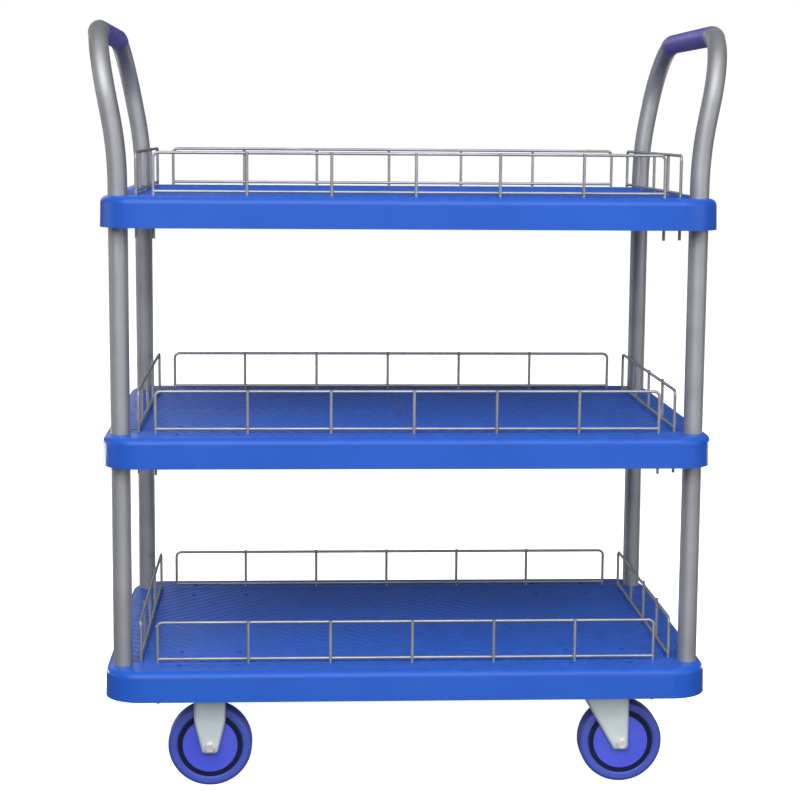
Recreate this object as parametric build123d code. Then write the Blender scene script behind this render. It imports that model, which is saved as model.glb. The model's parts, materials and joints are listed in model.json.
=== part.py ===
"""Three-tier platform cart: moulded decks on tube posts, wire guard rails, two push handles, four casters.

Millimetres. The origin is on the ground under the middle of the cart. X runs along the decks, with the
rigid casters at -X and the swivel casters at +X, and Z points up.
"""
import os
from math import cos, radians, sin, tan

from build123d import *

# Decks
DECK_LENGTH = 905.0
DECK_WIDTH = 605.0
DECK_HEIGHT = 45.0
DECK_CORNER_R = 55.0
DECK_EDGE_R = 10.0
DECK_DRAFT_DEG = 1.5
DECK_SKIN = 4.0
SKIRT_WALL = 4.0
DECK_PITCH = 350.0
DECK_NAMES = ("bottom", "middle", "top")
RIB_THICKNESS = 3.0
RIB_DEPTH = 24.0
RIBS_ACROSS = 12
RIBS_ALONG = 7

# Posts, their deck sockets and the studs that join them
POST_D = 28.6
POST_WALL = 1.5
POST_END_INSET = 26.0
POST_SIDE_INSET = 53.5
SOCKET_DEPTH = 24.0
SOCKET_FLOOR = 5.0
SOCKET_WALL = 4.5
PLUG_LENGTH = 20.0
STUD_D = 8.0
STUD_REACH = 15.0
FOOT_WASHER_D = 20.0

# Push handles
HANDLE_BEND_START = 15.0
HANDLE_BEND_R = 550.0
HANDLE_TILT_DEG = 10.4
HANDLE_UPPER_STRAIGHT = 26.0
HANDLE_CORNER_R = 102.0
GRIP_WALL = 1.0
GRIP_WRAP_DEG = 17.0

# Guard rails
WIRE_D = 4.5
RAIL_HEIGHT = 62.3
RAIL_LOW_WIRE = 6.3
RAIL_BEND_R = 8.0
RAIL_LEG_BELOW_DECK = 17.5
RAIL_WELD_SINK = 0.3
LONG_RAIL_END_INSET = 77.25
LONG_RAIL_FIRST_BAY = 136.0
LONG_RAIL_LAST_BAY = 120.5
LONG_RAIL_EQUAL_BAYS = 4
LONG_RAIL_INSET = 56.5
SIDE_RAIL_END_INSET = 67.5
SIDE_RAIL_BAYS = 4
SIDE_RAIL_INSET = 51.5

# Wheels
WHEEL_D = 127.0
TYRE_WIDTH = 36.0
TYRE_SHOULDER_R = 7.0
TYRE_LIP = 2.5
TYRE_THICKNESS = 14.5
RIM_SETBACK = 2.0
RIM_FLANGE = 7.5
RIM_WEB = 10.0
HUB_WALL = 5.0
COVER_LEDGE = 4.0
COVER_THICKNESS = 2.5
COVER_DOME = 1.5
BEARING_D = 26.0
BEARING_WIDTH = 8.0
BEARING_RECESS = 0.5
BEARING_SHIELD_STEP = 0.6
BEARING_RING = 2.5

# Caster frames
FORK_SHEET = 3.0
FORK_LIP = 4.0
FORK_EDGE_R = 5.0
FORK_TOE_R = 7.0
CROWN_CLEARANCE = 7.0
PLATE_MARGIN = 12.0
PLATE_CORNER_R = 10.0
PLATE_THICKNESS = 4.0
RIGID_END_INSET = 154.5
SWIVEL_END_INSET = 158.5
CASTER_SIDE_INSET = 80.5
CASTER_BOLT_DX = 88.0
CASTER_BOLT_DY = 74.0
RIGID_LEG_WIDTH = 48.0
RIGID_TOE_WIDTH = 23.0
RIGID_TAPER_START = 40.0
RIGID_TAPER_R = 60.0
SWIVEL_TRAIL = 36.0
SWIVEL_LEG_FRONT = 24.0
CROWN_MARGIN = 1.5
RACE_HEIGHT = 14.0
RACE_GAP = 3.0
RACE_PITCH_D = 50.0
RACE_WIDTH = 15.0
BALL_D = 8.0
BALL_COUNT = 10
KINGPIN_D = 12.0
KINGPIN_HEAD_D = 20.0
KINGPIN_HEAD_H = 7.0

# Bolts
AXLE_D = 8.0
AXLE_SLEEVE_WALL = 2.0
AXLE_SPACER_WALL = 1.5
HEX_FLATS = 13.0
HEX_HEAD_H = 5.3
NUT_H = 6.5
WASHER_D = 16.0
WASHER_T = 1.6
CASTER_BOLT_D = 8.0
CASTER_BOLT_LENGTH = 20.0
INSERT_WALL = 2.5
INSERT_LENGTH = 18.0
PAD_BOSS_WALL = 4.0
PAD_WALL = 4.0
PAD_RECESS = 5.5

# Clearances, each on the radius or between two faces
TUBE_FIT = 0.05
SHAFT_FIT = 0.05
BOLT_HOLE_CLEARANCE = 0.25
WASHER_BORE_CLEARANCE = 0.2
DECK_HOLE_CLEARANCE = 0.5
RAIL_HOLE_CLEARANCE = 0.5
BALL_FIT = 0.08
SWIVEL_END_PLAY = 0.2
SPACER_END_PLAY = 0.3
SPACER_CLEARANCE = 0.5
TOE_CLEARANCE = 0.5
TYRE_SIDE_CLEARANCE = 1.5
COVER_FIT = 0.1

# Places worked out from the sizes above
POST_R = POST_D / 2
POST_X = DECK_LENGTH / 2 - POST_END_INSET
POST_Y = DECK_WIDTH / 2 - POST_SIDE_INSET
LONG_RAIL_SPAN = DECK_LENGTH - 2 * LONG_RAIL_END_INSET
LONG_RAIL_Y = DECK_WIDTH / 2 - LONG_RAIL_INSET
SIDE_RAIL_SPAN = DECK_WIDTH - 2 * SIDE_RAIL_END_INSET
SIDE_RAIL_X = DECK_LENGTH / 2 - SIDE_RAIL_INSET
RIGID_X = RIGID_END_INSET - DECK_LENGTH / 2
SWIVEL_X = DECK_LENGTH / 2 - SWIVEL_END_INSET
RIM_D = WHEEL_D - 2 * TYRE_THICKNESS
RIM_WIDTH = TYRE_WIDTH - 2 * RIM_SETBACK
COVER_D = RIM_D - 2 * RIM_FLANGE
HUB_D = BEARING_D + 2 * HUB_WALL
HUB_LENGTH = RIM_WIDTH - 2 * COVER_THICKNESS
BEARING_END = HUB_LENGTH / 2 - BEARING_RECESS
FORK_GAP = TYRE_WIDTH + 2 * (TYRE_SIDE_CLEARANCE + FORK_LIP)
PLATE_LENGTH = CASTER_BOLT_DX + 2 * PLATE_MARGIN
PLATE_WIDTH = CASTER_BOLT_DY + 2 * PLATE_MARGIN
CROWN_D = RACE_PITCH_D + RACE_WIDTH + 2 * CROWN_MARGIN
AXLE_Z = WHEEL_D / 2
CROWN_BASE_Z = WHEEL_D + CROWN_CLEARANCE
PLATE_BASE_Z = CROWN_BASE_Z + FORK_SHEET + RACE_HEIGHT
PLATE_TOP_Z = PLATE_BASE_Z + PLATE_THICKNESS
CASTER_Y = DECK_WIDTH / 2 - CASTER_SIDE_INSET
DECK_BASE_Z = PLATE_TOP_Z - PAD_RECESS
SOCKET_FLOOR_Z = DECK_HEIGHT - SOCKET_DEPTH - SOCKET_FLOOR
LEG_OUTER = FORK_GAP / 2 + FORK_SHEET
AXLE_SLEEVE_R = AXLE_D / 2 + SHAFT_FIT + AXLE_SLEEVE_WALL
AXLE_SPACER_R = AXLE_SLEEVE_R + SHAFT_FIT + AXLE_SPACER_WALL
TOE_REACH = AXLE_SPACER_R + TOE_CLEARANCE + FORK_SHEET
FORK_TOE_Z = AXLE_Z - TOE_REACH
INSERT_R = CASTER_BOLT_D / 2 + SHAFT_FIT + INSERT_WALL
TOP_TIER = len(DECK_NAMES) - 1
BEND_TANGENT = HANDLE_BEND_R * tan(radians(HANDLE_TILT_DEG / 2))
HANDLE_KNEE = HANDLE_BEND_START + BEND_TANGENT
HANDLE_SLANT = BEND_TANGENT + HANDLE_UPPER_STRAIGHT + HANDLE_CORNER_R
HANDLE_LEAN = HANDLE_SLANT * sin(radians(HANDLE_TILT_DEG))
HANDLE_RISE = HANDLE_KNEE + HANDLE_SLANT * cos(radians(HANDLE_TILT_DEG))
CORNERS = [(-1, -1), (1, -1), (1, 1), (-1, 1)]


def deck_base(tier):
    """Height of a deck's skirt edge: tier 0 is the bottom deck."""
    return DECK_BASE_Z + tier * DECK_PITCH


def deck_top(tier):
    """Height of a deck's load face."""
    return deck_base(tier) + DECK_HEIGHT


def post_places():
    """Centres of the four posts."""
    return [(sx * POST_X, sy * POST_Y) for sx, sy in CORNERS]


def caster_bolt_places():
    """Bolt centres of the four caster pads, every deck being the same moulding."""
    places = []
    for caster_x in (RIGID_X, SWIVEL_X):
        for side in (-1, 1):
            for sx, sy in CORNERS:
                bolt_x = caster_x + sx * CASTER_BOLT_DX / 2
                places.append((bolt_x, side * CASTER_Y + sy * CASTER_BOLT_DY / 2))
    return places


def rail_leg_places():
    """Holes for the end legs of a deck's four rails."""
    places = [(sx * LONG_RAIL_SPAN / 2, sy * LONG_RAIL_Y) for sx, sy in CORNERS]
    places += [(sx * SIDE_RAIL_X, sy * SIDE_RAIL_SPAN / 2) for sx, sy in CORNERS]
    return places


def column(radius, low, high):
    """Upright round bar about the Z axis from one height to another."""
    return Pos(0, 0, low) * extrude(Circle(radius), high - low)


def at_places(piece, places, z=0.0):
    """Copies of a piece at each plan position."""
    return [Pos(x, y, z) * piece for x, y in places]


def tapered_slab(inset, height, edge_r):
    """Rounded plate with the decks' draft and a rounded upper edge."""
    outline = RectangleRounded(
        DECK_LENGTH - 2 * inset, DECK_WIDTH - 2 * inset, DECK_CORNER_R - inset
    )
    slab = extrude(outline, height, taper=DECK_DRAFT_DEG)
    return fillet(slab.faces().sort_by(Axis.Z)[-1].edges(), edge_r)


def deck_ribs(cavity):
    """Crossed stiffening ribs that hang from the skin inside the hollow of a deck."""
    plan = Sketch()
    for i in range(RIBS_ACROSS):
        x = DECK_LENGTH * ((i + 1) / (RIBS_ACROSS + 1) - 0.5)
        plan += Pos(x, 0) * Rectangle(RIB_THICKNESS, DECK_WIDTH)
    for i in range(RIBS_ALONG):
        y = DECK_WIDTH * ((i + 1) / (RIBS_ALONG + 1) - 0.5)
        plan += Pos(0, y) * Rectangle(DECK_LENGTH, RIB_THICKNESS)
    rib_base = DECK_HEIGHT - DECK_SKIN - RIB_DEPTH
    return (Pos(0, 0, rib_base) * extrude(plan, RIB_DEPTH)) & cavity


def caster_pads():
    """Walled pads with bolt bosses that the caster plates bear on."""
    ring = Rectangle(PLATE_LENGTH, PLATE_WIDTH)
    ring -= Rectangle(PLATE_LENGTH - 2 * PAD_WALL, PLATE_WIDTH - 2 * PAD_WALL)
    plan = Sketch()
    for caster_x in (RIGID_X, SWIVEL_X):
        for side in (-1, 1):
            plan += Pos(caster_x, side * CASTER_Y) * ring
    for x, y in caster_bolt_places():
        plan += Pos(x, y) * Circle(INSERT_R + TUBE_FIT + PAD_BOSS_WALL)
    return Pos(0, 0, PAD_RECESS) * extrude(plan, DECK_HEIGHT - DECK_SKIN - PAD_RECESS)


def deck():
    """Hollow deck moulding at height zero: skin, skirt, ribs, caster pads and post sockets."""
    cavity = tapered_slab(SKIRT_WALL, DECK_HEIGHT - DECK_SKIN, DECK_EDGE_R - DECK_SKIN)
    body = tapered_slab(0.0, DECK_HEIGHT, DECK_EDGE_R) - cavity
    body += deck_ribs(cavity)
    body += caster_pads()
    socket_r = POST_R + TUBE_FIT
    boss = column(socket_r + SOCKET_WALL, 0.0, DECK_HEIGHT - DECK_SKIN)
    body += at_places(boss, post_places())
    socket = column(socket_r, DECK_HEIGHT - SOCKET_DEPTH, DECK_HEIGHT)
    socket += column(socket_r, 0.0, SOCKET_FLOOR_Z)
    socket += column(STUD_D / 2 + BOLT_HOLE_CLEARANCE, 0.0, DECK_HEIGHT)
    bolt_hole = column(CASTER_BOLT_D / 2 + DECK_HOLE_CLEARANCE, 0.0, DECK_HEIGHT)
    bolt_hole += column(INSERT_R + TUBE_FIT, 0.0, PAD_RECESS + INSERT_LENGTH)
    leg_hole = column(WIRE_D / 2 + RAIL_HOLE_CLEARANCE, 0.0, DECK_HEIGHT)
    body -= at_places(socket, post_places())
    body -= at_places(bolt_hole, caster_bolt_places())
    body -= at_places(leg_hole, rail_leg_places())
    return body


def post():
    """Straight tube that stands on one deck's socket floor and carries the next deck's."""
    length = DECK_PITCH - SOCKET_FLOOR
    return column(POST_R, 0.0, length) - column(POST_R - POST_WALL, 0.0, length)


def handle_path(side):
    """Centre line of a push handle: two legs that bend outwards and a leaning bow that joins them."""
    foot_z = deck_base(TOP_TIER) + SOCKET_FLOOR_Z + SOCKET_FLOOR
    knee_z = deck_top(TOP_TIER) + HANDLE_KNEE
    bar_z = deck_top(TOP_TIER) + HANDLE_RISE
    leg_x = side * POST_X
    bar_x = side * (POST_X + HANDLE_LEAN)
    leg = [(leg_x, foot_z), (leg_x, knee_z), (bar_x, bar_z)]
    points = [(x, -POST_Y, z) for x, z in leg]
    points += [(x, POST_Y, z) for x, z in reversed(leg)]
    bends = [HANDLE_BEND_R, HANDLE_CORNER_R]
    return FilletPolyline(*points, radius=bends + bends[::-1])


def handle(side):
    """Bent tube handle at one end of the cart."""
    path = handle_path(side)
    foot = Plane(origin=path @ 0, z_dir=path % 0)
    section = Circle(POST_R) - Circle(POST_R - POST_WALL)
    return sweep(foot * section, path=path)


def grip(side):
    """Thin sleeve on a handle's crossbar that reaches a little way round both corners."""
    half = POST_Y - HANDLE_CORNER_R
    lean = radians(HANDLE_TILT_DEG)
    bar = (side * (POST_X + HANDLE_LEAN), 0, deck_top(TOP_TIER) + HANDLE_RISE)
    bow = Plane(origin=bar, x_dir=(0, 1, 0), z_dir=(cos(lean), 0, -side * sin(lean)))
    near = CenterArc((-half, -HANDLE_CORNER_R), HANDLE_CORNER_R, 90 + GRIP_WRAP_DEG, -GRIP_WRAP_DEG)
    far = CenterArc((half, -HANDLE_CORNER_R), HANDLE_CORNER_R, 90, -GRIP_WRAP_DEG)
    path = bow * Wire([near, Line((-half, 0), (half, 0)), far])
    bore_r = POST_R + TUBE_FIT
    section = Circle(bore_r + GRIP_WALL) - Circle(bore_r)
    return sweep(Plane(origin=path @ 0, z_dir=path % 0) * section, path=path)


def wire_rail(leg_places):
    """Welded wire rail along X: a hoop whose legs pass the deck, a low wire and legs that stand on it."""
    wire_r = WIRE_D / 2
    first, last = leg_places[0], leg_places[-1]
    foot_z = -DECK_HEIGHT - RAIL_LEG_BELOW_DECK
    corners = [(first, 0, foot_z), (first, 0, RAIL_HEIGHT), (last, 0, RAIL_HEIGHT), (last, 0, foot_z)]
    hoop = FilletPolyline(*corners, radius=RAIL_BEND_R)
    rail = sweep(Plane(origin=hoop @ 0, z_dir=hoop % 0) * Circle(wire_r), path=hoop)
    rail += Pos(first, 0, RAIL_LOW_WIRE) * Rot(0, 90, 0) * column(wire_r, 0.0, last - first)
    leg = Pos(0, -WIRE_D * (1 - RAIL_WELD_SINK), 0) * column(wire_r, 0.0, RAIL_HEIGHT + wire_r)
    rail += [Pos(x, 0, 0) * leg for x in leg_places[1:-1]]
    return rail


def long_rail():
    """Front or rear rail, whose first and last bays differ from the equal ones between."""
    middle = LONG_RAIL_SPAN - LONG_RAIL_FIRST_BAY - LONG_RAIL_LAST_BAY
    start = -LONG_RAIL_SPAN / 2
    places = [start]
    for i in range(LONG_RAIL_EQUAL_BAYS + 1):
        places.append(start + LONG_RAIL_FIRST_BAY + middle * i / LONG_RAIL_EQUAL_BAYS)
    places.append(LONG_RAIL_SPAN / 2)
    return wire_rail(places)


def side_rail():
    """End rail with equal bays."""
    return wire_rail([SIDE_RAIL_SPAN * (i / SIDE_RAIL_BAYS - 0.5) for i in range(SIDE_RAIL_BAYS + 1)])


def hexagon_bar(low, high):
    """Upright hexagonal bar of the bolts' size."""
    return Pos(0, 0, low) * extrude(RegularPolygon(HEX_FLATS / 2, 6, major_radius=False), high - low)


def post_plugs():
    """Tapped plugs flush in every end of the posts and in the handles' feet."""
    plug = column(POST_R - POST_WALL - TUBE_FIT, 0.0, PLUG_LENGTH)
    plug -= column(STUD_D / 2 + SHAFT_FIT, 0.0, PLUG_LENGTH)
    plugs = []
    for tier in range(len(DECK_NAMES)):
        floor_z = deck_base(tier) + SOCKET_FLOOR_Z
        plugs += at_places(plug, post_places(), floor_z + SOCKET_FLOOR)
        if tier > 0:
            plugs += at_places(plug, post_places(), floor_z - PLUG_LENGTH)
    return plugs


def post_studs():
    """Studs through the socket floors of the middle and top decks."""
    stud = column(STUD_D / 2, -STUD_REACH, SOCKET_FLOOR + STUD_REACH)
    studs = []
    for tier in range(1, len(DECK_NAMES)):
        studs += at_places(stud, post_places(), deck_base(tier) + SOCKET_FLOOR_Z)
    return studs


def post_foot_bolts():
    """Washered bolts that hold the lowest posts down, from under the bottom deck."""
    bolt = column(STUD_D / 2, 0.0, SOCKET_FLOOR + STUD_REACH)
    bolt += column(FOOT_WASHER_D / 2, -WASHER_T, 0.0)
    bolt += hexagon_bar(-WASHER_T - HEX_HEAD_H, -WASHER_T)
    return at_places(bolt, post_places(), deck_base(0) + SOCKET_FLOOR_Z)


def caster_fasteners():
    """Hex bolts and loose washers that hold the caster plates to the bottom deck's inserts."""
    bolt = column(CASTER_BOLT_D / 2, -WASHER_T, CASTER_BOLT_LENGTH - WASHER_T)
    bolt += hexagon_bar(-WASHER_T - HEX_HEAD_H, -WASHER_T)
    washer = column(WASHER_D / 2, -WASHER_T, 0.0)
    washer -= column(CASTER_BOLT_D / 2 + WASHER_BORE_CLEARANCE, -WASHER_T, 0.0)
    bolts = at_places(bolt, caster_bolt_places(), PLATE_BASE_Z)
    return bolts + at_places(washer, caster_bolt_places(), PLATE_BASE_Z)


def threaded_inserts():
    """Metal inserts in the bottom deck's pad bosses."""
    insert = column(INSERT_R, 0.0, INSERT_LENGTH)
    insert -= column(CASTER_BOLT_D / 2 + SHAFT_FIT, 0.0, INSERT_LENGTH)
    return at_places(insert, caster_bolt_places(), PLATE_TOP_Z)


def caster_plate():
    """Rectangular mounting plate with four bolt holes, its underside at height zero."""
    plan = RectangleRounded(PLATE_LENGTH, PLATE_WIDTH, PLATE_CORNER_R)
    for sx, sy in CORNERS:
        hole = Circle(CASTER_BOLT_D / 2 + BOLT_HOLE_CLEARANCE)
        plan -= Pos(sx * CASTER_BOLT_DX / 2, sy * CASTER_BOLT_DY / 2) * hole
    return extrude(plan, PLATE_THICKNESS)


def fork_leg(outline):
    """Pressed leg at -Y from its XZ outline: a shallow channel with lips towards the wheel."""
    face = fillet(outline.vertices().group_by(Axis.Y)[0], FORK_TOE_R)
    depth = FORK_SHEET + FORK_LIP
    leg = extrude(face, depth)
    leg = fillet(leg.faces().sort_by(Axis.Z)[-1].edges().sort_by(Axis.Y)[:-1], FORK_EDGE_R)
    hollow = offset(face, amount=-FORK_SHEET)
    leg -= extrude(hollow, FORK_LIP)
    return Pos(0, FORK_LIP - FORK_GAP / 2, 0) * Rot(90, 0, 0) * leg


def both_legs(outline, axle_x):
    """The two legs of a fork with the axle bolt's holes."""
    leg = fork_leg(outline)
    legs = leg + mirror(leg, about=Plane.XZ)
    hole = column(AXLE_D / 2 + SHAFT_FIT, -LEG_OUTER, LEG_OUTER)
    return legs - Pos(axle_x, 0, AXLE_Z) * Rot(90, 0, 0) * hole


def rigid_bracket():
    """Fixed caster frame: mounting plate with two tapered legs."""
    half = RIGID_LEG_WIDTH / 2
    toe = RIGID_TOE_WIDTH / 2
    taper_z = AXLE_Z + RIGID_TAPER_START
    right = [(half, PLATE_BASE_Z), (half, taper_z), (toe, FORK_TOE_Z)]
    left = [(-x, z) for x, z in reversed(right)]
    outline = make_face(Polyline(*right, *left, close=True))
    outline = fillet(outline.vertices().group_by(Axis.Y)[1], RIGID_TAPER_R)
    return both_legs(outline, 0.0) + Pos(0, 0, PLATE_BASE_Z) * caster_plate()


def race_ring(low, high, ball_z):
    """Raceway ring about the kingpin with a groove for the balls."""
    inner = (RACE_PITCH_D - RACE_WIDTH) / 2
    outer = (RACE_PITCH_D + RACE_WIDTH) / 2
    ring = column(outer, low, high) - column(inner, low, high)
    return ring - Pos(0, 0, ball_z) * Torus(RACE_PITCH_D / 2, BALL_D / 2 + BALL_FIT)


def race_heights():
    """Crown top, lower race top, ball centre and upper race bottom, going up."""
    crown_top = CROWN_BASE_Z + FORK_SHEET
    centre = crown_top + RACE_HEIGHT / 2
    return crown_top, centre - RACE_GAP / 2, centre, centre + RACE_GAP / 2


def swivel_plate():
    """Mounting plate of a swivel caster with the upper raceway under it."""
    centre, upper = race_heights()[2:]
    plate = Pos(0, 0, PLATE_BASE_Z) * caster_plate() + race_ring(upper, PLATE_BASE_Z, centre)
    return plate - column(KINGPIN_D / 2 + SHAFT_FIT, PLATE_BASE_Z, PLATE_TOP_Z)


def swivel_fork():
    """Swivelling fork about the kingpin, trailing towards +X, with the lower raceway on its crown."""
    crown_top, lower, centre = race_heights()[:3]
    back = SWIVEL_TRAIL + TOE_REACH
    corners = [
        (-SWIVEL_LEG_FRONT, crown_top),
        (SWIVEL_TRAIL - TOE_REACH, FORK_TOE_Z),
        (back, FORK_TOE_Z),
        (back, crown_top),
    ]
    legs = both_legs(make_face(Polyline(*corners, close=True)), SWIVEL_TRAIL)
    width = 2 * (LEG_OUTER - FORK_EDGE_R)
    crown_plan = Circle(CROWN_D / 2)
    crown_plan += Pos((back - SWIVEL_LEG_FRONT) / 2, 0) * Rectangle(back + SWIVEL_LEG_FRONT, width)
    fork = legs + Pos(0, 0, CROWN_BASE_Z) * extrude(crown_plan, FORK_SHEET)
    fork += race_ring(crown_top, lower, centre)
    return fork - column(KINGPIN_D / 2 + SHAFT_FIT, CROWN_BASE_Z, crown_top)


def swivel_balls():
    """Ring of balls between the two raceways of a swivel caster."""
    centre = race_heights()[2]
    balls = []
    for i in range(BALL_COUNT):
        turn = radians(360.0 * i / BALL_COUNT)
        place = Pos(RACE_PITCH_D / 2 * cos(turn), RACE_PITCH_D / 2 * sin(turn), centre)
        balls.append(place * Sphere(BALL_D / 2))
    return balls


def kingpin():
    """Pivot riveted into a swivel plate, with a head under the fork's crown."""
    head_top = CROWN_BASE_Z - SWIVEL_END_PLAY
    head = column(KINGPIN_HEAD_D / 2, head_top - KINGPIN_HEAD_H, head_top)
    return head + column(KINGPIN_D / 2, head_top, PLATE_TOP_Z)


def across(piece):
    """Turns a piece made about Z so that it lies along Y at axle height."""
    return Pos(0, 0, AXLE_Z) * Rot(90, 0, 0) * piece


def axle_set():
    """Axle bolt, its nut, the sleeve clamped between the fork legs and a spacer on each end of it."""
    nut_low = -LEG_OUTER - NUT_H
    bolt = column(AXLE_D / 2, nut_low, LEG_OUTER) + hexagon_bar(LEG_OUTER, LEG_OUTER + HEX_HEAD_H)
    nut = hexagon_bar(nut_low, -LEG_OUTER) - column(AXLE_D / 2 + SHAFT_FIT, nut_low, -LEG_OUTER)
    sleeve = column(AXLE_SLEEVE_R, -FORK_GAP / 2, FORK_GAP / 2)
    sleeve -= column(AXLE_D / 2 + SHAFT_FIT, -FORK_GAP / 2, FORK_GAP / 2)
    spacer_low = BEARING_END + SPACER_END_PLAY
    spacer = column(AXLE_SPACER_R, spacer_low, FORK_GAP / 2)
    spacer -= column(AXLE_SLEEVE_R + SHAFT_FIT, spacer_low, FORK_GAP / 2)
    return [across(piece) for piece in (bolt, nut, sleeve, spacer, mirror(spacer, about=Plane.XY))]


def turned(points):
    """Solid turned about the axle from a closed outline of radius and distance from the mid plane."""
    half = make_face(Polyline(*[(radius, 0, level) for radius, level in points], close=True))
    return across(revolve(half, Axis.Z))


def tyre():
    """Solid tyre with rounded shoulders and lips that stand beside the rim."""
    inner = RIM_D / 2 + TUBE_FIT
    half = TYRE_WIDTH / 2
    lip = half - TYRE_LIP
    outer = WHEEL_D / 2
    right = [(inner, lip), (inner + TYRE_LIP, half), (outer, half)]
    section = make_face(Polyline(*right, *[(r, -y) for r, y in reversed(right)], close=True))
    section = fillet(section.vertices().group_by(Axis.X)[-1], TYRE_SHOULDER_R)
    return across(revolve(Plane.XZ * section, Axis.Z))


def rim():
    """Moulded wheel centre: barrel with a ledge for each cover, web and hub with bearing seats."""
    barrel = RIM_D / 2
    ledge = COVER_D / 2 + COVER_FIT
    well = COVER_D / 2 - COVER_LEDGE
    edge = RIM_WIDTH / 2
    seat = edge - COVER_THICKNESS
    web = RIM_WEB / 2
    hub = HUB_D / 2
    bore = BEARING_D / 2 + TUBE_FIT
    hub_end = HUB_LENGTH / 2
    shoulder = BEARING_END - BEARING_WIDTH
    inner = bore - BEARING_RING
    right = [
        (inner, shoulder),
        (bore, shoulder),
        (bore, hub_end),
        (hub, hub_end),
        (hub, web),
        (well, web),
        (well, seat),
        (ledge, seat),
        (ledge, edge),
        (barrel, edge),
    ]
    return turned(right + [(r, -y) for r, y in reversed(right)])


def wheel_covers():
    """Domed discs on the rim's ledges, one on each side, that reach in over the hub to the axle's spacers."""
    seat = RIM_WIDTH / 2 - COVER_THICKNESS
    outer = COVER_D / 2
    inner = AXLE_SPACER_R + SPACER_CLEARANCE
    top = seat + COVER_THICKNESS
    section = [(inner, seat), (outer, seat), (outer, top), (inner, top + COVER_DOME)]
    return [turned(section), turned([(r, -y) for r, y in section])]


def wheel_bearings():
    """Shielded bearings in the hub's two seats, running on the axle sleeve."""
    outer = BEARING_D / 2
    inner = AXLE_SLEEVE_R + SHAFT_FIT
    end = BEARING_END
    inside = end - BEARING_WIDTH
    shield = end - BEARING_SHIELD_STEP
    section = [
        (inner, inside),
        (outer, inside),
        (outer, end),
        (outer - BEARING_RING, end),
        (outer - BEARING_RING, shield),
        (inner + BEARING_RING, shield),
        (inner + BEARING_RING, end),
        (inner, end),
    ]
    return [turned(section), turned([(r, -y) for r, y in section])]


def write(name, *pieces):
    """Writes one sub-part, a single solid or a group of separate solids, to its own file."""
    shape = pieces[0] if len(pieces) == 1 else Compound(children=list(pieces))
    export_step(shape, os.path.join("parts", name + ".step"))


def write_decks_and_posts():
    """Decks, the posts between them and what joins them."""
    moulding = deck()
    tube = post()
    for tier, name in enumerate(DECK_NAMES):
        write("deck_" + name, Pos(0, 0, deck_base(tier)) * moulding)
    for tier, level in enumerate(("lower", "upper")):
        foot_z = deck_base(tier) + SOCKET_FLOOR_Z + SOCKET_FLOOR
        for (x, y), corner in zip(post_places(), ("front_left", "front_right", "rear_right", "rear_left")):
            write(level + "_post_" + corner, Pos(x, y, foot_z) * tube)
    write("post_plugs", *post_plugs())
    write("post_studs", *post_studs())
    write("post_foot_bolts", *post_foot_bolts())


def write_handles():
    """Push handles and their grip sleeves."""
    for side, name in ((-1, "left"), (1, "right")):
        write("handle_" + name, handle(side))
        write("handle_grip_" + name, grip(side))


def write_rails():
    """Four wire rails on each deck, the rear and left ones being the others turned half round."""
    long_piece = long_rail()
    side_piece = side_rail()
    for tier, name in enumerate(DECK_NAMES):
        z = deck_top(tier)
        write("rail_" + name + "_front", Pos(0, -LONG_RAIL_Y, z) * long_piece)
        write("rail_" + name + "_rear", Pos(0, LONG_RAIL_Y, z) * Rot(0, 0, 180) * long_piece)
        write("rail_" + name + "_right", Pos(SIDE_RAIL_X, 0, z) * Rot(0, 0, 90) * side_piece)
        write("rail_" + name + "_left", Pos(-SIDE_RAIL_X, 0, z) * Rot(0, 0, -90) * side_piece)


def write_wheel(name, place):
    """The pieces that turn with one wheel."""
    write(name + "_tyre", place * tyre())
    write(name + "_rim", place * rim())
    write(name + "_covers", *[place * piece for piece in wheel_covers()])
    write(name + "_bearings", *[place * piece for piece in wheel_bearings()])


def write_casters():
    """Two rigid and two swivel casters with their fasteners."""
    sides = ((-1, "front"), (1, "rear"))
    rigid_axles = []
    kingpins = []
    for side, name in sides:
        rigid_place = Pos(RIGID_X, side * CASTER_Y, 0)
        swivel_place = Pos(SWIVEL_X, side * CASTER_Y, 0)
        trailing_place = Pos(SWIVEL_X + SWIVEL_TRAIL, side * CASTER_Y, 0)
        write("rigid_bracket_" + name, rigid_place * rigid_bracket())
        write_wheel("rigid_wheel_" + name, rigid_place)
        rigid_axles += [rigid_place * piece for piece in axle_set()]
        write("swivel_plate_" + name, swivel_place * swivel_plate())
        write("swivel_fork_" + name, swivel_place * swivel_fork())
        write("swivel_balls_" + name, *[swivel_place * ball for ball in swivel_balls()])
        write("swivel_axle_" + name, *[trailing_place * piece for piece in axle_set()])
        write_wheel("swivel_wheel_" + name, trailing_place)
        kingpins.append(swivel_place * kingpin())
    write("rigid_axles", *rigid_axles)
    write("kingpins", *kingpins)
    write("caster_fasteners", *caster_fasteners())
    write("threaded_inserts", *threaded_inserts())


os.makedirs("parts", exist_ok=True)
write_decks_and_posts()
write_handles()
write_rails()
write_casters()
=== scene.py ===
"""Looks of the three-tier platform cart: camera, light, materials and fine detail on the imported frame."""
import json
from math import cos, hypot, pi, sin

import bmesh
import bpy
from mathutils import Matrix, Vector

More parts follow.
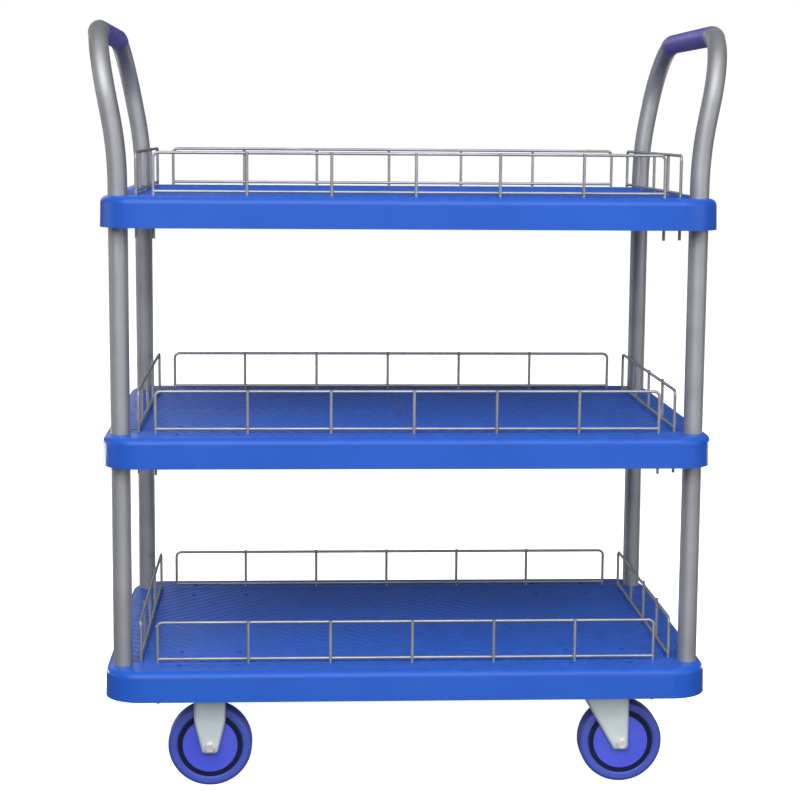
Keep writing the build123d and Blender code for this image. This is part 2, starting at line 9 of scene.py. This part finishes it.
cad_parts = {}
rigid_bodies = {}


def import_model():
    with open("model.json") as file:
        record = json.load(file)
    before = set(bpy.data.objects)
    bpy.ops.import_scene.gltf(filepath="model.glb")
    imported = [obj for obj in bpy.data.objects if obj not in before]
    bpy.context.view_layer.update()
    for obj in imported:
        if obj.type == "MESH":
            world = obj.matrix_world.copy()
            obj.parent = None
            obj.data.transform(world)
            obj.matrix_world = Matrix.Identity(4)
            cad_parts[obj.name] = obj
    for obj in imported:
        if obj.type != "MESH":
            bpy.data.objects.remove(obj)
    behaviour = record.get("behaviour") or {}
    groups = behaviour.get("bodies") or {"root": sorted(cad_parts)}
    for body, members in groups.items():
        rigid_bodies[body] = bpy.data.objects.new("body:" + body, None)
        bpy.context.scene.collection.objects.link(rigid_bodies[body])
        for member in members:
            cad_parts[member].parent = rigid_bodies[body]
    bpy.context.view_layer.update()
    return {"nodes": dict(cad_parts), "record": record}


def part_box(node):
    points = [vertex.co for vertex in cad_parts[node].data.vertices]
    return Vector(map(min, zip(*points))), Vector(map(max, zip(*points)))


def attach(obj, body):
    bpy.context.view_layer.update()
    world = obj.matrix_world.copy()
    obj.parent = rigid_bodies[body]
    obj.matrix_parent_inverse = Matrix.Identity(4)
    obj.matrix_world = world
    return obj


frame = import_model()

# Photograph's view, in metres and radians
IMAGE_PX = 800
CAMERA_AT = (-0.1737, -3.1244, 0.9967)
CAMERA_YAW = 0.0556
CAMERA_PITCH = 0.13876
CAMERA_ROLL = 0.00757
CAMERA_FOCAL_PX = 1959.3
SENSOR_MM = 36.0

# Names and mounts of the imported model
RECORD = frame["record"]
BOLT_MOUNTS = [mount for mount in RECORD["mounts"] if mount["kind"] == "bolt_pattern"]
MM_PER_M = 1000
DECKS = ("deck_bottom", "deck_middle", "deck_top")
CORNERS = ("front_left", "front_right", "rear_left", "rear_right")
QUARTERS = ((-1, -1), (-1, 1), (1, -1), (1, 1))

# Anti-slip ribs on the load faces, in metres
RIB_PITCH = 0.0172
RIB_WIDTH = 0.0060
RIB_CREST = 0.0024
RIB_HEIGHT = 0.0007
RIB_SINK = 0.0001
PANEL_HALF_X = 0.430
PANEL_HALF_Y = 0.275
PANEL_REACH = 0.655
CENTRE_STRIP = 0.014
CENTRE_LINE = 0.004
HOLE_MARGIN = 0.0075
POST_MARGIN = 0.0200

# Bolt heads and nuts, in metres, a hair over the plain hexagons that they cover
HEX_FLATS = 0.0132
HEX_TOP_SHARE = 0.48
HEX_CHAMFER = 0.577
HEX_DISH = 0.0004
DISH_RIM_SHARE = 0.7
DISH_FLOOR_SHARE = 0.6
TURN_STEPS = 48
AXLE_LEG_OUTER = 0.0265
AXLE_HEAD_H = 0.0054
AXLE_NUT_H = 0.0066
THREAD_R = 0.004
THREAD_DEPTH = 0.0006
THREAD_PITCH = 0.00125
THREAD_TURNS = 3

# Surface noise, as scale and detail
PLASTIC_CLOUDS = (9.0, 4.0)
METAL_CLOUDS = (14.0, 4.0)
FLOOR_CLOUDS = (2.0, 3.0)
FLOOR_MARKS = (6.0, 3.0)
HANDLING_MARKS = (35.0, 5.0)
DRAWING_MARKS = (700.0, 3.0)
LOAD_SCUFFS_IN_TOP_LIGHT = (60.0, 6.0)
SLEEVE_STREAKS = (160.0, 3.0)
MOULD_GRAIN = (900.0, 2.0)
TREAD_GRAIN = (700.0, 2.0)
SLEEVE_GRAIN = (1200.0, 2.0)

# Stretch of the noise on X, Y and Z: a small share draws it out
EVEN = (1.0, 1.0, 1.0)
DRAWING_STRETCH = (1.0, 1.0, 0.03)
SCUFF_STRETCH = (1.0, 0.4, 1.0)
STREAK_STRETCH = (1.0, 0.04, 1.0)

# Where the noise reaches the darker and the lighter shade
SHADE_LOW = 0.3
SHADE_HIGH = 0.7

# Fine relief, in metres, and how strongly it shows
PLASTIC_RELIEF = 0.00004
PLASTIC_BUMP = 0.4
METAL_RELIEF = 0.00002
METAL_BUMP = 0.25

# Upward part of a face's normal from which it starts to take the load face's paler shades: painted light on
# the tops
TOP_LIGHT_FROM = 0.5

# Distances from the bar's middle between which the sleeve fades, in metres
SLEEVE_FADE = (0.145, 0.182)

# Places of the colour mix node's sockets, whose names repeat
MIX_SHARE = 0
MIX_BASE = 6
MIX_OTHER = 7
MIX_RESULT = 2

# Studio, in metres and watts
WHITE = (1.0, 1.0, 1.0, 1.0)
WORLD_LIGHT = 0.16
FLOOR_GLOW = 0.9
FLOOR_RADIUS = 12.0
FLOOR_STEPS = 64
LIGHT_TARGET = (0.0, 0.0, 0.6)
LIGHT_HEIGHT_SHARE = 0.5

# Name, place, width and power of each light
STUDIO_LIGHTS = (
    ("key", (-0.2, -3.8, 4.8), 7.4, 330.0),
    ("front", (-1.3, -5.4, 3.2), 5.6, 290.0),
    ("fill", (4.8, -3.8, 1.6), 4.5, 105.0),
    ("back", (-2.7, 5.8, 2.7), 4.2, 38.0),
    ("bounce", (0.2, -1.7, 0.05), 1.4, 4.6),
    ("left", (-4.2, 0.4, 0.9), 2.4, 22.0),
    ("rear_left", (-2.0, 1.8, 0.0), 0.7, 16.0),
    ("rear_right", (2.0, 1.8, 0.0), 0.7, 16.0),
)


def linear(red, green, blue):
    """Scene colour of an 8-bit sRGB display colour."""
    channels = []
    for value in (red, green, blue):
        share = value / 255.0
        channels.append(share / 12.92 if share <= 0.04045 else ((share + 0.055) / 1.055) ** 2.4)
    return (*channels, 1.0)


# The tube's finish, to which the grip sleeve fades
TUBE_SHADES = (linear(136, 137, 141), linear(151, 152, 156))
TUBE_METALLIC = 0.7


class Shader:
    """Principled material whose colour, roughness and bump vary over the surface."""

    def __init__(self, name):
        self.material = bpy.data.materials.new(name)
        self.material.use_nodes = True
        self.nodes = self.material.node_tree.nodes
        self.links = self.material.node_tree.links
        self.surface = self.nodes["Principled BSDF"]
        self.place = self.nodes.new("ShaderNodeTexCoord").outputs["Object"]

    def set(self, **values):
        """Constant values on the surface's own sockets."""
        for name, value in values.items():
            self.surface.inputs[name.replace("_", " ")].default_value = value

    def noise(self, pattern, stretch=EVEN):
        """Noise over the object's own coordinates, drawn out along an axis where stretch is small."""
        scale, detail = pattern
        mapping = self.nodes.new("ShaderNodeMapping")
        mapping.inputs["Scale"].default_value = stretch
        texture = self.nodes.new("ShaderNodeTexNoise")
        texture.inputs["Scale"].default_value = scale
        texture.inputs["Detail"].default_value = detail
        self.links.new(self.place, mapping.inputs["Vector"])
        self.links.new(mapping.outputs["Vector"], texture.inputs["Vector"])
        return texture.outputs["Fac"]

    def ramp(self, source, low, high):
        """Colour that runs from low to high as the source rises."""
        node = self.nodes.new("ShaderNodeValToRGB")
        first, last = node.color_ramp.elements
        first.position = SHADE_LOW
        first.color = low
        last.position = SHADE_HIGH
        last.color = high
        self.links.new(source, node.inputs["Fac"])
        return node.outputs["Color"]

    def colour(self, source, low, high):
        """Base colour between two shades."""
        self.links.new(self.ramp(source, low, high), self.surface.inputs["Base Color"])

    def blend(self, share, source, low, high):
        """Mixes other shades into the base colour by a share."""
        mix = self.nodes.new("ShaderNodeMix")
        mix.data_type = "RGBA"
        base = self.surface.inputs["Base Color"]
        self.links.new(share, mix.inputs[MIX_SHARE])
        self.links.new(base.links[0].from_socket, mix.inputs[MIX_BASE])
        self.links.new(self.ramp(source, low, high), mix.inputs[MIX_OTHER])
        self.links.new(mix.outputs[MIX_RESULT], base)

    def paint_top_light(self, source, low, high):
        """Paler shades on the faces that look up, in place of the base colour: painted light standing in
        for the light that falls on them.
        """
        facing = self.nodes.new("ShaderNodeSeparateXYZ")
        share = self.nodes.new("ShaderNodeMapRange")
        share.inputs["From Min"].default_value = TOP_LIGHT_FROM
        self.links.new(self.place.node.outputs["Normal"], facing.inputs["Vector"])
        self.links.new(facing.outputs["Z"], share.inputs["Value"])
        self.blend(share.outputs["Result"], source, low, high)

    def endwise(self, start, end, source, low, high):
        """Other shades towards both ends along Y, in place of the base colour. Returns their share."""
        place = self.nodes.new("ShaderNodeSeparateXYZ")
        off = self.nodes.new("ShaderNodeMath")
        off.operation = "ABSOLUTE"
        share = self.nodes.new("ShaderNodeMapRange")
        share.interpolation_type = "SMOOTHSTEP"
        share.inputs["From Min"].default_value = start
        share.inputs["From Max"].default_value = end
        self.links.new(self.place, place.inputs["Vector"])
        self.links.new(place.outputs["Y"], off.inputs[0])
        self.links.new(off.outputs["Value"], share.inputs["Value"])
        self.blend(share.outputs["Result"], source, low, high)
        return share.outputs["Result"]

    def vary(self, socket, source, low, high):
        """Value of one of the surface's sockets, from low to high as the source rises."""
        node = self.nodes.new("ShaderNodeMapRange")
        node.inputs["To Min"].default_value = low
        node.inputs["To Max"].default_value = high
        self.links.new(source, node.inputs["Value"])
        self.links.new(node.outputs["Result"], self.surface.inputs[socket])

    def bump(self, source, depth, strength):
        """Fine relief of the surface, depth in metres."""
        node = self.nodes.new("ShaderNodeBump")
        node.inputs["Strength"].default_value = strength
        node.inputs["Distance"].default_value = depth
        self.links.new(source, node.inputs["Height"])
        self.links.new(node.outputs["Normal"], self.surface.inputs["Normal"])


def plastic(name, low, high, rough, grain):
    """Moulded plastic with a faint cloudiness, handling marks and fine grain."""
    shader = Shader(name)
    shader.colour(shader.noise(PLASTIC_CLOUDS), low, high)
    shader.vary("Roughness", shader.noise(HANDLING_MARKS), *rough)
    shader.bump(shader.noise(grain), PLASTIC_RELIEF, PLASTIC_BUMP)
    return shader


def metal(name, low, high, rough, metallic):
    """Metal with upright drawing marks and slight clouding."""
    shader = Shader(name)
    shader.set(Metallic=metallic)
    shader.colour(shader.noise(METAL_CLOUDS), low, high)
    marks = shader.noise(DRAWING_MARKS, DRAWING_STRETCH)
    shader.vary("Roughness", marks, *rough)
    shader.bump(marks, METAL_RELIEF, METAL_BUMP)
    return shader


def deck_plastic():
    """Blue moulding whose upward faces take paler shades than its skirt: painted light, with scuff noise in
    it.
    """
    shader = plastic(
        "deck_blue",
        low=linear(28, 73, 160),
        high=linear(32, 78, 169),
        rough=(0.30, 0.42),
        grain=MOULD_GRAIN,
    )
    scuffs_in_top_light = shader.noise(LOAD_SCUFFS_IN_TOP_LIGHT, SCUFF_STRETCH)
    # Painted light: upward faces paler than the skirt, standing in for the light that falls on them
    shader.paint_top_light(scuffs_in_top_light, low=linear(31, 83, 178), high=linear(37, 90, 190))
    shader.set(Specular_IOR_Level=0.2)
    return shader.material


def grip_sleeve():
    """Thin violet-blue sleeve, streaked along the bar, that fades to the tube's grey round the corners."""
    shader = Shader("grip_violet_blue")
    streaks = shader.noise(SLEEVE_STREAKS, STREAK_STRETCH)
    shader.colour(streaks, low=linear(62, 58, 142), high=linear(82, 79, 168))
    shader.vary("Roughness", shader.noise(HANDLING_MARKS), low=0.40, high=0.52)
    shader.bump(shader.noise(SLEEVE_GRAIN), PLASTIC_RELIEF, PLASTIC_BUMP)
    tube_share = shader.endwise(*SLEEVE_FADE, shader.noise(METAL_CLOUDS), *TUBE_SHADES)
    shader.vary("Metallic", tube_share, low=0.0, high=TUBE_METALLIC)
    return shader.material


def tube_steel():
    """Satin silver tube of the posts and handles."""
    return metal("tube_silver", *TUBE_SHADES, rough=(0.5, 0.6), metallic=TUBE_METALLIC).material


def rail_wire():
    """Plated wire of the guard rails."""
    return metal(
        "wire_plated",
        low=linear(130, 130, 131),
        high=linear(152, 152, 153),
        rough=(0.34, 0.46),
        metallic=0.6,
    ).material


def zinc_sheet():
    """Pale zinc plate of the caster brackets, plates and forks."""
    return metal(
        "sheet_zinc",
        low=linear(178, 188, 194),
        high=linear(199, 208, 213),
        rough=(0.4, 0.54),
        metallic=0.35,
    ).material


def tyre_tread():
    """Satin violet-blue tread of the wheels."""
    return plastic(
        "tread_violet_blue",
        low=linear(47, 64, 150),
        high=linear(57, 76, 167),
        rough=(0.45, 0.60),
        grain=TREAD_GRAIN,
    ).material


def rim_plastic():
    """Blue-black moulding with a dull surface."""
    shader = plastic(
        "rim_black",
        low=linear(9, 16, 40),
        high=linear(17, 25, 56),
        rough=(0.40, 0.55),
        grain=MOULD_GRAIN,
    )
    shader.set(Specular_IOR_Level=0.15)
    return shader.material


def wheel_cover():
    """Smooth violet-blue disc over the wheel's hub."""
    return plastic(
        "cover_violet_blue",
        low=linear(57, 70, 184),
        high=linear(69, 84, 200),
        rough=(0.32, 0.45),
        grain=MOULD_GRAIN,
    ).material


def fastener_steel():
    """Bright plated steel of the bolts, nuts, bearings and other small pieces."""
    return metal(
        "fastener_plated",
        low=linear(196, 197, 196),
        high=linear(222, 223, 221),
        rough=(0.24, 0.36),
        metallic=0.7,
    ).material


def slot_materials():
    """Material of each slot of the record."""
    return {
        "deck_plastic": deck_plastic(),
        "grip_sleeve": grip_sleeve(),
        "tube_steel": tube_steel(),
        "rail_wire": rail_wire(),
        "zinc_sheet": zinc_sheet(),
        "tyre_blue": tyre_tread(),
        "rim_black": rim_plastic(),
        "cover_blue": wheel_cover(),
        "fastener_steel": fastener_steel(),
    }


def dress_nodes(materials):
    """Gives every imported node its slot's material."""
    for part in RECORD["subparts"]:
        node = frame["nodes"][part["node"]]
        node.data.materials.clear()
        node.data.materials.append(materials[part["material_slot"]])


def new_object(name, mesh, material):
    """Object in the scene made from a finished mesh."""
    data = bpy.data.meshes.new(name)
    mesh.to_mesh(data)
    mesh.free()
    data.materials.append(material)
    piece = bpy.data.objects.new(name, data)
    bpy.context.collection.objects.link(piece)
    return piece


def diagonal_lines(sign_x, sign_y):
    """Start, direction and length of each diagonal rib of one quarter of a load face."""
    near_x, far_x = CENTRE_STRIP / 2, PANEL_HALF_X
    near_y, far_y = CENTRE_LINE / 2, PANEL_HALF_Y
    width, depth = far_x - near_x, far_y - near_y
    step = RIB_PITCH * 2 ** 0.5
    count = int(PANEL_REACH / step)
    lines = []
    for i in range(1, count + 1):
        reach = i * step
        first = (min(reach, width), max(0.0, reach - width))
        last = (max(0.0, reach - depth), min(reach, depth))
        start = (sign_x * (near_x + first[0]), sign_y * (near_y + first[1]))
        end = (sign_x * (near_x + last[0]), sign_y * (near_y + last[1]))
        run_x, run_y = end[0] - start[0], end[1] - start[1]
        length = hypot(run_x, run_y)
        if length > 2 * RIB_WIDTH:
            lines.append((start, (run_x / length, run_y / length), length))
    return lines


def rib_breaks():
    """Plan centres and margins of the bolt holes and posts, alike on all decks."""
    breaks = []
    for corner in CORNERS:
        low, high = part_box("lower_post_" + corner)
        breaks.append(((low[0] + high[0]) / 2, (low[1] + high[1]) / 2, POST_MARGIN))
    for mount in BOLT_MOUNTS:
        middle_x, middle_y, _ = mount["pos_m"]
        half_x = mount["dims"]["spacing_x_mm"] / MM_PER_M / 2
        half_y = mount["dims"]["spacing_y_mm"] / MM_PER_M / 2
        for sign_x, sign_y in QUARTERS:
            breaks.append((middle_x + sign_x * half_x, middle_y + sign_y * half_y, HOLE_MARGIN))
    return breaks


def strip_spans(start, direction, length, breaks):
    """Stretches of a straight rib that keep clear of the holes and posts."""
    spans = [(0.0, length)]
    for break_x, break_y, margin in breaks:
        dx, dy = break_x - start[0], break_y - start[1]
        along = dx * direction[0] + dy * direction[1]
        off = abs(dx * direction[1] - dy * direction[0])
        if off >= margin:
            continue
        half = (margin ** 2 - off ** 2) ** 0.5
        cut = []
        for low, high in spans:
            cut.append((low, min(high, along - half)))
            cut.append((max(low, along + half), high))
        spans = [(low, high) for low, high in cut if high - low > RIB_WIDTH]
    return spans


def add_strip(mesh, start, direction, span, top_z):
    """Low rib with sloping sides and ends along one stretch."""
    side = (-direction[1], direction[0])

    def rectangle(low, high, half, z):
        return [
            mesh.verts.new((
                start[0] + direction[0] * along + side[0] * across,
                start[1] + direction[1] * along + side[1] * across,
                z,
            ))
            for along, across in ((low, -half), (high, -half), (high, half), (low, half))
        ]

    inset = (RIB_WIDTH - RIB_CREST) / 2
    low, high = span
    below = rectangle(low, high, RIB_WIDTH / 2, top_z - RIB_SINK)
    above = rectangle(low + inset, high - inset, RIB_CREST / 2, top_z + RIB_HEIGHT)
    mesh.faces.new(above)
    mesh.faces.new(below[::-1])
    for i in range(len(below)):
        j = (i + 1) % len(below)
        mesh.faces.new((below[i], below[j], above[j], above[i]))


def deck_ribs(deck, material):
    """Anti-slip ribs of one load face: diagonals that make nested diamonds of its four quarters."""
    top_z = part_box(deck)[1][2]
    breaks = rib_breaks()
    mesh = bmesh.new()
    for sign_x, sign_y in QUARTERS:
        for start, direction, length in diagonal_lines(sign_x, sign_y):
            for span in strip_spans(start, direction, length, breaks):
                add_strip(mesh, start, direction, span, top_z)
    piece = new_object(deck + "_ribs", mesh, material)
    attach(piece, "cart")


def hexagon_reach(angle):
    """Distance from a hexagon's middle to its side, with a corner at angle zero."""
    return HEX_FLATS / 2 / cos(angle % (pi / 3) - pi / 6)


def hexagon_loops(low, height):
    """Loops of a hexagon with a chamfered, slightly dished end."""
    top = HEX_FLATS * HEX_TOP_SHARE
    end = low + height

    def shoulder(angle):
        reach = hexagon_reach(angle)
        return reach, end - (reach - top) * HEX_CHAMFER

    return [
        lambda angle: (hexagon_reach(angle), low),
        shoulder,
        lambda angle: (top, end),
        lambda angle: (top * DISH_RIM_SHARE, end),
        lambda angle: (top * DISH_FLOOR_SHARE, end - HEX_DISH),
    ]


def thread_loops(low):
    """Loops of a bolt's threaded end that stands out of its nut."""
    levels = [(THREAD_R - THREAD_DEPTH, low - THREAD_PITCH / 2)]
    for i in range(THREAD_TURNS):
        levels.append((THREAD_R, low + i * THREAD_PITCH))
        levels.append((THREAD_R - THREAD_DEPTH, low + (i + 0.5) * THREAD_PITCH))
    return [lambda angle, place=place: place for place in levels]


def turned_piece(name, at, outward, loops, body, material):
    """Closed piece about an axle along Y through loops whose radius and level may vary round it."""
    mesh = bmesh.new()
    rings = []
    for loop in loops:
        ring = []
        for i in range(TURN_STEPS):
            angle = 2 * pi * i / TURN_STEPS
            radius, level = loop(angle)
            ring.append(mesh.verts.new((
                at[0] + radius * cos(angle),
                at[1] + outward * level,
                at[2] + radius * sin(angle),
            )))
        rings.append(ring)
    for low, high in zip(rings, rings[1:]):
        for i in range(TURN_STEPS):
            j = (i + 1) % TURN_STEPS
            mesh.faces.new((low[i], low[j], high[j], high[i]))
    mesh.faces.new(rings[0])
    mesh.faces.new(rings[-1])
    bmesh.ops.recalc_face_normals(mesh, faces=mesh.faces)
    piece = new_object(name, mesh, material)
    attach(piece, body)


def dress_axles(material):
    """Chamfered head, nut and threaded end of each wheel's axle bolt."""
    head = hexagon_loops(AXLE_LEG_OUTER, AXLE_HEAD_H)
    nut = hexagon_loops(AXLE_LEG_OUTER, AXLE_NUT_H)
    thread = thread_loops(AXLE_LEG_OUTER + AXLE_NUT_H)
    for joint in RECORD["behaviour"]["joints"]:
        if not joint["name"].endswith("wheel_spin"):
            continue
        name = joint["child"] + "_axle"
        at, body = joint["pos_m"], joint["parent"]
        turned_piece(name + "_head", at, -1, head, body, material)
        turned_piece(name + "_nut", at, 1, nut, body, material)
        turned_piece(name + "_thread", at, 1, thread, body, material)


def add_floor():
    """Plain pale floor under the cart, out of the way of its mirror images."""
    pale = Shader("floor_pale")
    pale.set(Emission_Color=WHITE, Emission_Strength=FLOOR_GLOW)
    pale.colour(pale.noise(FLOOR_CLOUDS), low=linear(244, 244, 244), high=linear(252, 252, 252))
    pale.vary("Roughness", pale.noise(FLOOR_MARKS), low=0.8, high=0.9)
    disc = bmesh.new()
    bmesh.ops.create_circle(disc, cap_ends=True, segments=FLOOR_STEPS, radius=FLOOR_RADIUS)
    piece = new_object("floor", disc, pale.material)
    piece.visible_glossy = False
    piece.visible_diffuse = False


def add_light(name, at, width, power):
    """Soft rectangular studio light that faces the middle of the cart."""
    lamp = bpy.data.lights.new(name, "AREA")
    lamp.shape = "RECTANGLE"
    lamp.size = width
    lamp.size_y = width * LIGHT_HEIGHT_SHARE
    lamp.energy = power
    piece = bpy.data.objects.new(name, lamp)
    piece.location = at
    piece.rotation_euler = (Vector(LIGHT_TARGET) - Vector(at)).to_track_quat("-Z", "Y").to_euler()
    piece.visible_camera = False
    bpy.context.collection.objects.link(piece)


def add_world():
    """Surroundings that look white and light the cart only softly."""
    world = bpy.data.worlds.new("studio")
    world.use_nodes = True
    nodes, links = world.node_tree.nodes, world.node_tree.links
    soft = nodes["Background"]
    soft.inputs["Color"].default_value = WHITE
    soft.inputs["Strength"].default_value = WORLD_LIGHT
    white = nodes.new("ShaderNodeBackground")
    white.inputs["Color"].default_value = WHITE
    pick = nodes.new("ShaderNodeMixShader")
    share, unseen, seen = pick.inputs
    links.new(nodes.new("ShaderNodeLightPath").outputs["Is Camera Ray"], share)
    links.new(soft.outputs["Background"], unseen)
    links.new(white.outputs["Background"], seen)
    links.new(pick.outputs["Shader"], nodes["World Output"].inputs["Surface"])
    bpy.context.scene.world = world


def add_studio():
    """Soft light: two large lamps in front, weaker ones around, and small ones near the floor."""
    add_world()
    for name, at, width, power in STUDIO_LIGHTS:
        add_light(name, at, width, power)


def add_camera():
    """Camera at the photograph's place, direction and focal length."""
    flat = cos(CAMERA_PITCH)
    forward = Vector((sin(CAMERA_YAW) * flat, cos(CAMERA_YAW) * flat, -sin(CAMERA_PITCH)))
    level = Vector((cos(CAMERA_YAW), -sin(CAMERA_YAW), 0.0))
    rise = level.cross(forward)
    right = cos(CAMERA_ROLL) * level + sin(CAMERA_ROLL) * rise
    up = cos(CAMERA_ROLL) * rise - sin(CAMERA_ROLL) * level
    turn = Matrix((right, up, -forward)).transposed().to_4x4()
    lens = bpy.data.cameras.new("camera")
    lens.sensor_width = SENSOR_MM
    lens.lens = CAMERA_FOCAL_PX / IMAGE_PX * SENSOR_MM
    camera = bpy.data.objects.new("camera", lens)
    camera.matrix_world = Matrix.Translation(CAMERA_AT) @ turn
    bpy.context.collection.objects.link(camera)
    bpy.context.scene.camera = camera


materials = slot_materials()
dress_nodes(materials)
for deck in DECKS:
    deck_ribs(deck, materials["deck_plastic"])
dress_axles(materials["fastener_steel"])
add_floor()
add_studio()
add_camera()
bpy.context.scene.view_settings.view_transform = "Standard"
